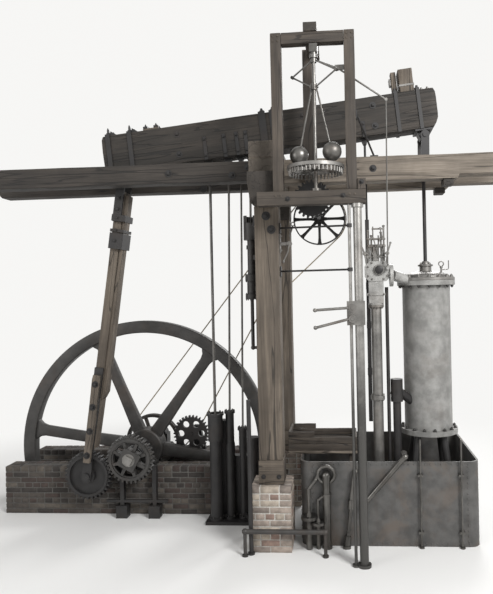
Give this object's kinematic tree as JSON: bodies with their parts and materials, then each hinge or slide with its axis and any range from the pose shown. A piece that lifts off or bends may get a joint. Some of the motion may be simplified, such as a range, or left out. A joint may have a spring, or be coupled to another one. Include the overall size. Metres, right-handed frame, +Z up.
{
  "type": "rotative beam engine",
  "caption": "Timber-framed rotative beam engine with flywheel, sun-and-planet gear, centrifugal governor, pumps, steam cylinder and condenser cistern.",
  "frame": {"origin": "middle of the front king post pier's foot, on the floor", "axes": "+X along the beam to the cylinder end, +Y to the back, +Z up"},
  "size_m": [6.88, 2.912, 5.907],
  "materials": {
    "brick": "weathered brick in lime mortar",
    "oak_dark": "old dark oak",
    "oak": "old grey-brown oak",
    "cast_iron": "oiled cast iron",
    "black_iron": "blackened wrought and cast iron",
    "bright_iron": "worn bare wrought iron",
    "rope": "laid hemp rope"
  },
  "bodies": {
    "root": {"king_post_piers": "brick", "post_foot_blocks": "oak", "king_post_front": "oak", "king_post_rear": "oak", "post_heads": "oak_dark", "cross_timber_lower": "oak", "cross_timber_upper": "oak", "spring_timber_front_left": "oak", "spring_timber_front_right": "oak", "spring_timber_rear_left": "oak", "spring_timber_rear_right": "oak", "great_beam": "oak_dark", "beam_gudgeon": "black_iron", "gudgeon_bearings": "black_iron", "beam_straps": "black_iron", "beam_catch_blocks": "oak_dark", "connecting_rod": "oak", "rod_irons": "black_iron", "pump_board": "oak_dark", "planet_wheel": "black_iron", "sun_wheel": "cast_iron", "sun_planet_link": "black_iron", "flywheel": "cast_iron", "flywheel_shaft": "bright_iron", "shaft_bearings": "black_iron", "wheel_wall_front": "brick", "wheel_wall_rear": "brick", "outboard_stand": "black_iron", "rope_drum": "cast_iron", "governor_rope": "rope", "counter_gear": "black_iron", "cold_water_pump": "black_iron", "pump_rods": "bright_iron", "pump_pipes": "black_iron", "feed_pump": "cast_iron", "governor_frame": "oak", "governor_spindle": "bright_iron", "governor_arms": "bright_iron", "crown_wheel": "cast_iron", "governor_shaft": "black_iron", "rope_pulley": "black_iron", "governor_lever": "bright_iron", "iron_column": "bright_iron", "stay_rods": "bright_iron", "handle_bracket": "black_iron", "valve_gear": "black_iron", "upper_valve_chest": "bright_iron", "steam_pipe": "bright_iron", "lower_valve_chest": "black_iron", "steam_cylinder": "cast_iron", "cylinder_cover": "bright_iron", "cylinder_stand": "black_iron", "piston_rod": "bright_iron", "parallel_motion": "black_iron", "cistern": "cast_iron", "injection_pipes": "bright_iron", "floor_pipe": "bright_iron", "hot_well": "oak_dark"},
    "upper_handle": {"upper_handle": "bright_iron"},
    "lower_handle": {"lower_handle": "bright_iron"}
  },
  "joints": [
    {"name": "upper_handle_turn", "type": "hinge", "parent": "root", "child": "upper_handle", "pos_m": [0.975, -0.6, 2.81], "axis": [0, 1, 0], "range_deg": [-35, 35]},
    {"name": "lower_handle_turn", "type": "hinge", "parent": "root", "child": "lower_handle", "pos_m": [0.975, -0.6, 2.69], "axis": [0, 1, 0], "range_deg": [-35, 35]}
  ]
}
